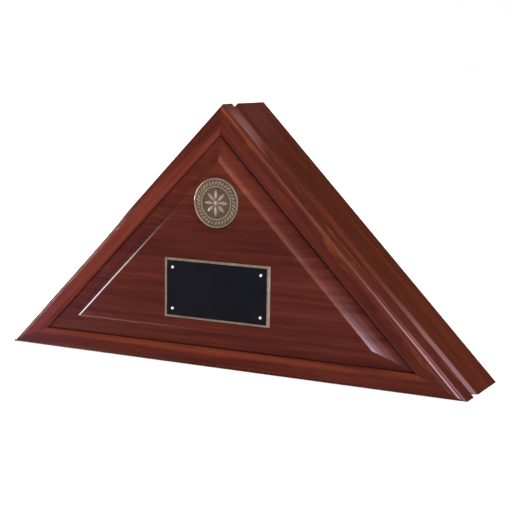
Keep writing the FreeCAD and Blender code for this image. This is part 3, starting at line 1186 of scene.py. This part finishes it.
@dataclass
class NamePlate:
    """Bevelled metal plate with a bare black insert and four domed pins, in millimetres."""

    bevel_width: float = 2.4
    bevel_rise: float = 1.2
    land: float = 1.5
    recess: float = 0.5
    border_edge: float = 0.2
    insert_edge: float = 0.3
    insert_stretch: float = 1.032
    pin_radius: float = 1.9
    pin_dome: float = 0.85
    pin_foot: float = 0.35
    pin_sunk: float = 0.1
    pin_sides: int = 32
    pin_rows: int = 8
    pin_places: Pair = (63.5, 26.7)

    def build_backing(self) -> None:
        """Makes the plate: a slab, its bevel, its border and the recess."""
        low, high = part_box("name_plate_backing")
        piece = add_block(low + Vector((0, self.bevel_rise * MM, 0)), high)
        with editing(piece, Part.FACE):
            pick(piece, Part.FACE, lambda face: face.normal.y < -0.9)
            step_inwards(((self.bevel_width, self.bevel_rise), (self.land, 0.0)))
            bpy.ops.transform.resize(value=(1, 1, self.insert_stretch))
            draw_out((0, self.recess * MM, 0))
        soften(piece, self.border_edge, 2, 20.0)
        brush = (30.0, 0.6, 0.6)
        finish = Metal("satin_brass_plate_border", "#a69883", "#837767", (0.36, 0.46), brush, metallic=0.6)
        ticket = Ticket("name_plate_border", Body.DOOR, "plate_border_brass", ("name_plate_backing",))
        ticket.settle(piece, finish.material())

    def build_insert(self) -> None:
        """Makes the bare black insert with softened edges."""
        low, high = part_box("name_plate_insert")
        grow = Vector((0, 0, (high.z - low.z) * (self.insert_stretch - 1) / 2))
        piece = add_block(low - grow, high + grow)
        soften(piece, self.insert_edge, 3)
        finish = Coating("black_lacquered_brass", "#101317", "#0c0f12", (0.3, 0.36), 18.0, 0.01, 0.1)
        ticket = Ticket("name_plate_face", Body.DOOR, "black_lacquer", ("name_plate_insert",))
        ticket.settle(piece, finish.material())

    def build_pins(self) -> None:
        """Makes one domed pin and copies it to the four corners."""
        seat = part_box("name_plate_insert")[0].y + self.pin_sunk * MM
        low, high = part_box("name_plate_backing")
        middle = (low + high) / 2
        piece = add_disc(self.pin_radius, (middle.x, seat, middle.z), self.pin_sides)
        raise_up(piece, self.pin_foot, dome_steps(self.pin_radius, self.pin_dome, self.pin_rows))
        # The near-white colour and low metallic stand partly for the pins' highlights: a painted highlight on
        # polished brass
        brush = (3.0, 0.4, 0.4)
        finish = Metal("polished_brass_pin", "#fbf5e8", "#efe4cb", (0.2, 0.3), brush, 2.0, 0.05, 0.45)
        material = finish.material()
        across, up = self.pin_places
        places = [(side * across * MM, 0, level * up * MM) for level in (-1, 1) for side in (-1, 1)]
        for number, place in enumerate(places, 1):
            ticket = Ticket(f"name_plate_pin_{number}", Body.DOOR, "bright_brass", ("name_plate_pins",))
            ticket.settle(copy_piece(piece, place), material)
        bpy.data.objects.remove(piece)

    def build(self) -> None:
        """Makes the plate, its insert and its pins."""
        self.build_backing()
        self.build_insert()
        self.build_pins()


@dataclass(frozen=True)
class Leaf:
    """One leaf or petal of the medallion's relief, in millimetres and degrees from level."""

    radius: float
    half_length: float
    half_width: float
    slant: float
    rise: float
    foot: float = 0.2
    outline: Steps = ((-1, 0), (-0.5, -0.8), (0, -1), (0.55, -0.7), (1, 0), (0.55, 0.7), (0, 1), (-0.5, 0.8))

    def build(self, root: Vector) -> Piece:
        """Models the ridged leaf above the middle of the medallion.

        Args:
            root: Middle of the medallion at the height of the leaf's foot, in metres.

        Returns:
            The leaf.
        """
        cosine = math.cos(math.radians(self.slant))
        sine = math.sin(math.radians(self.slant))
        points = []
        for run, across in self.outline:
            x = run * self.half_length * cosine - across * self.half_width * sine
            z = run * self.half_length * sine + across * self.half_width * cosine + self.radius
            points.append(root + Vector((x * MM, 0, z * MM)))
        leaf = flat_outline(points)
        wide, rise = self.half_width, self.rise
        raise_up(leaf, self.foot, ((0.25 * wide, 0.6 * rise), (0.3 * wide, 0.4 * rise)))
        return leaf


@dataclass
class Medallion:
    """Struck round medallion: rim, band of leaves, ring and a rosette of petals, in millimetres."""

    radius: float = 31.3
    thickness: float = 3.4
    edge: float = 1.2
    ground: float = 2.5
    rim_width: float = 1.8
    ring_radius: float = 21.3
    ring_width: float = 1.1
    ring_rise: float = 0.5
    leaf_count: int = 34
    petal_count: int = 8
    boss_radius: float = 3.2
    boss_foot: float = 0.4
    boss_dome: float = 0.55
    boss_sides: int = 48
    boss_rows: int = 7
    sunk: float = 0.1
    sides: int = 128
    smooth: float = 28.0

    def centre(self, height: float) -> Vector:
        """Finds the medallion's middle at a height above its rear face, in metres."""
        low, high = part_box("medallion")
        return Vector(((low.x + high.x) / 2, high.y - height * MM, (low.z + high.z) / 2))

    def build_blank(self) -> Piece:
        """Turns the blank with its rim and ring.

        Returns:
            The blank.
        """
        piece = add_disc(self.radius, self.centre(0.0), self.sides)
        rim = self.rim_width
        ring_out = self.radius - self.ring_radius
        ring_in = ring_out + self.ring_width
        top, low = self.thickness, self.ground
        crest = low + self.ring_rise
        profile = rounded_profile(
            [
                (0.0, top - self.edge, 0, 0),
                (0.0, top, 0.5, 4),
                (rim - 0.3, top, 0.3, 3),
                (rim, low, 0.25, 3),
                (ring_out - 0.25, low, 0.15, 2),
                (ring_out, crest, 0.2, 2),
                (ring_in, crest, 0.2, 2),
                (ring_in + 0.25, low - self.sunk, 0.15, 2),
                (self.radius - self.boss_radius - 1.5, low + self.sunk, 0, 0),
            ]
        )
        raise_up(piece, top - self.edge, profile_steps(profile))
        return piece

    def build(self) -> None:
        """Strikes the blank and joins its relief to it."""
        blank = self.build_blank()
        middle = self.centre(0.0)
        root = self.centre(self.ground - self.sunk)
        band = (self.ring_radius + self.radius - self.rim_width) / 2
        leaves = ring_of_copies(Leaf(band, 4.0, 1.6, 52, 0.3).build(root), self.leaf_count, middle)
        petals = ring_of_copies(Leaf(10.2, 7.4, 2.9, 90, 0.45).build(root), self.petal_count, middle)
        boss = add_disc(self.boss_radius, root, self.boss_sides)
        raise_up(boss, self.boss_foot, dome_steps(self.boss_radius, self.boss_dome, self.boss_rows))
        piece = join(blank, leaves, petals, boss)
        hollow = self.centre(self.ground - 2 * self.sunk).y
        finish = AntiqueBronze("antiqued_bronze_medallion", hollow, self.centre(self.thickness).y)
        ticket = Ticket("medallion_relief", Body.DOOR, "antique_bronze", ("medallion",))
        ticket.settle(piece, finish.material(), self.smooth)


# Box


@dataclass
class BoxBoards:
    """Three boards behind the groove, rabbeted for the back panel, in millimetres."""

    front: float = 38.0
    rear: float = 119.0
    thickness: float = 19.0
    groove_end: float = 45.5
    groove_depth: float = 3.6
    rabbet_front: float = 110.0
    rabbet_edge: float = 9.0
    leaf: float = 1.2
    magnet_radius: float = 5.05
    magnet_length: float = 6.0
    overcut: float = 1.0
    stain: tuple[str, ...] = ("#35170d", "#401b10", "#492013", "#522614", "#5d2c17")
    glow: str = "#6b3724"

    def section(self) -> list[Corner]:
        """Draws the section of a board, from the groove round the inside to the rear edge.

        Returns:
            Its corners in order.
        """
        return [
            Corner(self.groove_depth, self.front, 0.3, 2),
            Corner(self.thickness, self.front, 0.4, 2),
            Corner(self.thickness, self.rabbet_front, 0.3, 2),
            Corner(self.rabbet_edge, self.rabbet_front),
            Corner(self.rabbet_edge, self.rear, 0.5, 3),
            Corner(0, self.rear, 1.5, 5),
            Corner(0, self.groove_end, 3.0, 6),
        ]

    def build(self) -> None:
        """Makes the three boards, each with a figure of its own."""
        rows = (
            ("base_board", OUTLINE.base, 2.13),
            ("right_board", OUTLINE.right, 2.57),
            ("left_board", OUTLINE.left, 2.91),
        )
        start = self.front - self.overcut
        leaf = (start, self.front + self.leaf)
        catch = (self.magnet_radius, start, self.front + self.magnet_length)
        for node, side, shift in rows:
            name = f"stained_cherry_{node}"
            band = side.band(0.9, 2.2)
            finish = StainedCherry(name, side.angle, shift, band, -0.05, 0.9, self.stain, self.glow)
            MitredMember(node, Body.BOX, side, self.section(), finish, leaf, catch).build()


@dataclass
class BackPanel:
    """Stained plywood back in its rabbet, in millimetres."""

    edge: float = 9.5
    front: float = 110.0
    thickness: float = 6.0
    softened: float = 0.4

    def build(self) -> None:
        """Makes the panel with softened edges."""
        piece = flat_outline(OUTLINE.inset(self.edge, self.front + self.thickness))
        raise_up(piece, self.thickness)
        soften(piece, self.softened)
        finish = PlainWood("stained_birch_plywood", 0.0, "#6b3420", "#4a2013", 3.3)
        ticket = Ticket("back_panel_plywood", Body.BOX, "back_plywood", ("back_panel",))
        ticket.settle(piece, finish.material())


# Hardware


@dataclass
class CrossScrew:
    """Screw with a cross recess, in millimetres; a flat head is sunk flush, a round head stands proud."""

    head_radius: float
    head_rise: float
    shank_radius: float
    length: float
    cross_reach: float
    cross_width: float
    cross_depth: float
    sunk: float = 0.0
    sides: int = 32
    dome_rows: int = 6
    point_length: float = 2.0
    point_share: float = 0.2
    overcut: float = 1.0

    def ring(self, move: float, spread: float) -> None:
        """Draws the selected face out along the shank by millimetres and spreads it by a factor."""
        draw_out((0, move * MM, 0))
        bpy.ops.transform.resize(value=(spread, 1.0, spread))

    def build(self) -> Piece:
        """Models the screw at the origin, its head facing the front and its shank running back.

        Returns:
            The screw.
        """
        piece = add_disc(self.shank_radius, (0, 0, 0), self.sides)
        with editing(piece, Part.FACE):
            bpy.ops.mesh.select_all(action="SELECT")
            bpy.ops.transform.translate(value=(0, self.length * MM, 0))
            bpy.ops.transform.resize(value=(self.point_share, 1.0, self.point_share))
            self.ring(-self.point_length, 1 / self.point_share)
            self.ring(self.point_length + self.sunk - self.length, 1.0)
            self.ring(-self.sunk, self.head_radius / self.shank_radius)
            if self.head_rise:
                step_inwards(dome_steps(self.head_radius, self.head_rise, self.dome_rows))
        face_outwards(piece)
        self.cut_cross(piece)
        return piece

    def cut_cross(self, piece: Piece) -> None:
        """Cuts the cross recess into the head.

        Args:
            piece: Screw to cut.
        """
        middle = (0, (self.cross_depth / 2 - self.head_rise - self.overcut / 2) * MM, 0)
        size = Vector((2 * self.cross_reach, self.cross_depth + self.overcut, self.cross_width)) * MM
        for turn in (0.0, QUARTER):
            cutter = add_primitive(
                bpy.ops.mesh.primitive_cube_add,
                size=1.0,
                location=middle,
                rotation=(0, turn, 0),
                scale=size,
            )
            carve(piece, cutter)


@dataclass
class Hardware:
    """Hinges, catches, keys and screws, in millimetres and degrees."""

    hinge_seat: HingeSeat = HingeSeat()
    catches: CatchSeats = CatchSeats()
    screw_spread: float = 16.0
    screw_across: float = 10.05
    door_rear: float = 37.8
    box_front: float = 38.0
    back_seat: float = 116.0
    back_across: float = 14.0
    first_turn: float = 11.0
    next_turn: float = 37.0

    def place_screws(
        self, pattern: Piece, places: Sequence[Vector], way: Way, ticket: Ticket, material: Material
    ) -> None:
        """Copies one screw to its places.

        Args:
            pattern: Screw modelled at the origin, facing the front.
            places: Seats in metres.
            way: Direction that the heads face.
            ticket: Name, body, slot and node of the screws.
            material: Finish of the screws.
        """
        for number, place in enumerate(places, 1):
            screw = copy_piece(pattern)
            if way is Way.REAR:
                bpy.ops.transform.rotate(value=math.pi, orient_axis="Z", center_override=(0, 0, 0))
            # Each head stopped at its own angle
            turn = math.radians(self.next_turn * number + self.first_turn)
            bpy.ops.transform.rotate(value=turn, orient_axis="Y", center_override=(0, 0, 0))
            bpy.ops.transform.translate(value=place)
            replace(ticket, name=f"{ticket.name}_{number}").settle(screw, material)

    def hinge_places(self, depth: float) -> list[Vector]:
        """Finds the seats of the hinge screws on one side of the parting plane, at a depth."""
        runs = [run + side * self.screw_spread for run in self.hinge_seat.runs for side in (-1, 1)]
        return [OUTLINE.left.point(run, self.screw_across, depth) for run in runs]

    def back_places(self) -> list[Vector]:
        """Finds the seats of the screws round the back panel.

        Returns:
            The seats in metres.
        """
        places = []
        base_angle = math.atan2(OUTLINE.height, OUTLINE.width / 2)
        end_run = self.back_across / math.tan(base_angle / 2)
        for side, count in ((OUTLINE.base, 4), (OUTLINE.right, 3), (OUTLINE.left, 3)):
            spacing = (side.length - 2 * end_run) / count
            runs = [end_run + spacing * (index + 0.5) for index in range(count)]
            places.extend(side.point(run, self.back_across, self.back_seat) for run in runs)
        return places

    def build_screws(self) -> None:
        """Makes the flat-headed screws of hinges and strikes and the round-headed ones of the back."""
        brush = (2.0, 0.3, 0.3)
        brass = Metal("polished_brass_screw", "#d9b978", "#a8844a", (0.2, 0.32), brush, 1.5, 0.1)
        zinc = Metal("yellow_zinc_screw", "#b6a06a", "#7f6c40", (0.3, 0.42), brush, 2.0, 0.1)
        flat = CrossScrew(2.4, 0.0, 1.3, 11.0, 1.35, 0.55, 0.7, sunk=1.1).build()
        strikes = [self.catches.centre(side, self.door_rear) for side in (OUTLINE.base, OUTLINE.right)]
        rows = (
            ("door_hinge_screw", Body.DOOR, self.hinge_places(self.door_rear), Way.REAR),
            ("case_hinge_screw", Body.BOX, self.hinge_places(self.box_front), Way.FRONT),
            ("catch_strike_screw", Body.DOOR, strikes, Way.REAR),
        )
        material = brass.material()
        for name, body, places, way in rows:
            self.place_screws(flat, places, way, Ticket(name, body, "screw_brass", (f"{name}s",)), material)
        bpy.data.objects.remove(flat)
        round_head = CrossScrew(3.5, 2.0, 1.6, 20.0, 1.9, 0.8, 1.3).build()
        ticket = Ticket("back_panel_screw", Body.BOX, "back_screw_steel", ("back_panel_screws",))
        self.place_screws(round_head, self.back_places(), Way.REAR, ticket, zinc.material())
        bpy.data.objects.remove(round_head)

    def dress_nodes(self) -> None:
        """Dresses the CAD nodes whose own shape stays in view."""
        leaves = [f"{level}_hinge_{kind}_leaf" for level in ("upper", "lower") for kind in ("door", "case")]
        pins = ["upper_hinge_pin", "lower_hinge_pin"]
        splines = ["door_mitre_splines", "box_mitre_splines"]
        rows = (
            (Metal("polished_brass_hinge", "#d6b36a", "#a37d3c", (0.2, 0.34)), leaves),
            (Metal("drawn_steel_pin", "#c9cacb", "#9b9da0", (0.22, 0.34)), pins),
            (Metal("zinc_plated_steel_strike", "#bfc3c7", "#8e9499", (0.3, 0.42)), ["catch_strikes"]),
            (Metal("nickel_plated_magnet", "#d9d6cf", "#b0aca4", (0.15, 0.28)), ["catch_magnets"]),
            (PlainWood("bare_birch_key", 0.8, "#c9a273", "#a37c4f", 0.4), splines),
            (Coating("black_foam_tape", "#26262a", "#141416", (0.8, 0.95), 0.9, 0.2, 0.3), ["medallion_pad"]),
        )
        for finish, nodes in rows:
            material = finish.material()
            for node in nodes:
                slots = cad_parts[node].data.materials
                slots.clear()
                slots.append(material)
                LOG.info("%s: CAD node kept, dressed in %s", node, material.name)

    def build(self) -> None:
        """Makes the screws and dresses the rest."""
        self.build_screws()
        self.dress_nodes()


# Studio


def hang(name: str, data: bpy.types.ID) -> Piece:
    """Puts a light or a camera into the set.

    Args:
        name: Name of the object.
        data: Light or camera.

    Returns:
        The object that holds it.
    """
    holder = bpy.data.objects.new(name, data)
    bpy.context.scene.collection.objects.link(holder)
    return holder


def aim_along(holder: Piece, direction: Vector) -> None:
    """Turns a light so that it shines in a direction."""
    holder.rotation_euler = direction.to_track_quat("-Z", "Y").to_euler()


@dataclass(frozen=True)
class Softbox:
    """Rectangular studio light."""

    name: str
    place: Size
    target: Size
    size: Pair
    power: float
    reflex_only: bool = False

    def build(self) -> None:
        """Hangs the light and aims it."""
        lamp = bpy.data.lights.new(self.name, "AREA")
        lamp.shape = "RECTANGLE"
        lamp.size, lamp.size_y = self.size
        lamp.energy = self.power
        holder = hang(self.name, lamp)
        holder.location = self.place
        aim_along(holder, Vector(self.target) - Vector(self.place))
        holder.visible_diffuse = not self.reflex_only


@dataclass(frozen=True)
class Card:
    """Soft-edged card of light far away, which the lacquer and the metals mirror."""

    direction: Size
    spread: float
    strength: float
    colour: str = "#ffffff"

    def add_to(self, tree: Tree, gaze: Socket, light: Socket) -> Socket:
        """Adds the card to the surround.

        Args:
            tree: Node tree of the surround.
            gaze: Socket with the direction looked in.
            light: Socket with the light so far.

        Returns:
            Socket with the card's light added.
        """
        aim = Vector(self.direction).normalized()
        nearness = add_node(tree, "VectorMath", (gaze, aim), out="Value", operation="DOT_PRODUCT")
        rim = math.cos(math.radians(self.spread))
        reach = (nearness, rim, 1.0, 0.0, self.strength)
        strength = add_node(tree, "MapRange", reach, interpolation_type="SMOOTHSTEP")
        colour = to_linear(self.colour)[:3]
        return add_node(tree, "VectorMath", (colour, strength, light), operation="MULTIPLY_ADD")


@dataclass
class Studio:
    """Pale floor, soft light and the camera."""

    cards: tuple[Card, ...] = (
        # Shine on the hollow of the right bevel, fading towards the frame
        Card((0.49, -0.755, 0.46), 11.0, 19.0, "#eee2ff"),
        Card((0.387, -0.876, 0.324), 12.0, 5.6, "#e8e0ff"),
        Card((0.227, -0.96, 0.166), 13.0, 2.0, "#f0d8f4"),
        Card((0.58, -0.71, 0.46), 34.0, 0.7, "#fbd8e4"),
        Card((0.26, -0.715, 0.65), 14.0, 2.2, "#ff9a70"),
        # White line on the left edge of the raised field
        Card((-0.715, -0.697, -0.035), 5.5, 24.0),
        # Tints of the left stile's face, the left bevel and the edges beside them
        Card((-0.68, -0.71, -0.21), 10.0, 2.0, "#e8a4ff"),
        Card((-0.9, -0.43, 0.0), 15.0, 0.35, "#ffb0e0"),
        Card((-0.985, -0.12, 0.12), 11.0, 0.3, "#a090ff"),
        # Shine on the lower bevel and the lower edge of the field
        Card((-0.62, -0.57, -0.53), 14.0, 0.25, "#ffb090"),
        Card((-0.59, -0.705, -0.395), 8.0, 2.5, "#ffd8d0"),
        # Sheen on the lower bevel and the rounded lower edge of the rail
        Card((-0.69, -0.42, -0.58), 15.0, 0.4, "#f0e0ff"),
        Card((-0.69, 0.1, -0.71), 17.0, 2.6, "#f0e0ff"),
        # Sheen on the door's side below the top corner
        Card((0.0755, 0.873, 0.4815), 2.0, 1.85, "#ffcfcf"),
        # Shine on the rounded edge of the right stile and on the flank of the groove
        Card((0.73, -0.14, 0.67), 11.0, 4.0, "#e6e4ff"),
        Card((0.72, 0.27, 0.64), 11.0, 9.0, "#f4e8ff"),
    )
    softboxes: tuple[Softbox, ...] = (
        Softbox("fill_right", (1.5, -1.7, 0.6), (0, 0, 0.12), (0.8, 0.8), 4.0),
        Softbox("fill_high", (0.0, -1.0, 1.9), (0, 0, 0.12), (1.2, 0.8), 4.0),
        Softbox("edge_left_rear", (-1.37, 0.2, 0.34), (-0.25, 0, 0.08), (0.55, 0.32), 60.0, True),
    )
    walls: tuple[tuple[float, str], ...] = ((0.0, "#202020"), (0.5, "#2c2c2c"), (1.0, "#383838"))
    backdrop: str = "#ffffff"
    ceiling_power: float = 3.32
    ceiling_spread: float = 60.0
    ceiling_aim: Size = (-0.76, 0.41, -0.5)
    floor_size: float = 120.0
    floor_drop: float = 0.2 * MM
    eye: Size = (0.78979, -1.47739, 0.38831)
    forward: Size = (-0.45577, 0.87805, -0.14592)
    up: Size = (-0.07932, 0.12322, 0.9892)
    lens: float = 92.05
    sensor: float = 36.0

    def build_floor(self) -> None:
        """Lays the floor, a lit white sheet that the lacquer doesn't mirror."""
        sheet = bpy.ops.mesh.primitive_plane_add
        floor = add_primitive(sheet, size=self.floor_size, location=(0, 0, -self.floor_drop))
        floor.name = "studio_floor"
        finish = Coating("white_studio_paper", "#f7f6f4", "#f3f2f0", (0.85, 0.95), 900.0, 0.1, 0.1, 0.45)
        floor.data.materials.append(finish.material())
        floor.visible_glossy = False

    def build_sky(self) -> None:
        """Surrounds the set with dim walls and soft-edged cards of light."""
        world = bpy.data.worlds.new("studio_surround")
        bpy.context.scene.world = world
        world.use_nodes = True
        tree = world.node_tree
        tree.nodes.clear()
        gaze = add_node(tree, "TexCoord", out="Generated")
        height = add_node(tree, "SeparateXYZ", (gaze,), out="Z")
        level = add_node(tree, "MapRange", (height, -1.0, 1.0))
        light = add_node(tree, "ValToRGB", (level,), self.walls)
        for card in self.cards:
            light = card.add_to(tree, gaze, light)
        # The camera sees a plain pale backdrop; only the part sees the dim walls and the cards
        rays = add_node(tree, "LightPath", out="Is Camera Ray")
        blend = {0: rays, 6: light, 7: to_linear(self.backdrop)}
        seen = add_node(tree, "Mix", blend, out=2, data_type="RGBA")
        shine = add_node(tree, "Background", {"Color": seen, "Strength": 1.0})
        add_node(tree, "OutputWorld", {"Surface": shine})

    def build_lights(self) -> None:
        """Hangs the softboxes, and a soft light from the upper right that the lacquer doesn't mirror."""
        lamp = bpy.data.lights.new("ceiling_glow", "SUN")
        lamp.energy = self.ceiling_power
        lamp.angle = math.radians(self.ceiling_spread)
        holder = hang("ceiling_glow", lamp)
        aim_along(holder, Vector(self.ceiling_aim))
        holder.visible_glossy = False
        for box in self.softboxes:
            box.build()

    def build_camera(self) -> None:
        """Sets the camera where the photograph was taken from."""
        lens = bpy.data.cameras.new("studio_camera")
        lens.lens = self.lens
        lens.sensor_width = self.sensor
        camera = hang("studio_camera", lens)
        ahead = Vector(self.forward).normalized()
        right = ahead.cross(Vector(self.up)).normalized()
        upright = right.cross(ahead)
        matrix = camera.matrix_world.to_3x3()
        for row in range(3):
            matrix[row] = (right[row], upright[row], -ahead[row])
        camera.matrix_world = matrix.to_4x4()
        camera.location = self.eye
        bpy.context.scene.camera = camera

    def build(self) -> None:
        """Sets up floor, surround, lights and camera."""
        self.build_floor()
        self.build_sky()
        self.build_lights()
        self.build_camera()
        bpy.context.scene.view_settings.view_transform = "Standard"


def main() -> None:
    """Builds the case from the door to the hardware, then the studio round it."""
    logging.basicConfig(level=logging.INFO, format="%(message)s")
    parts = (DoorFrame(), RaisedPanel(), Medallion(), NamePlate(), BoxBoards(), BackPanel(), Hardware())
    for assembly in (*parts, Studio()):
        assembly.build()
        LOG.info("%s is done", type(assembly).__name__)


if __name__ == "__main__":
    main()
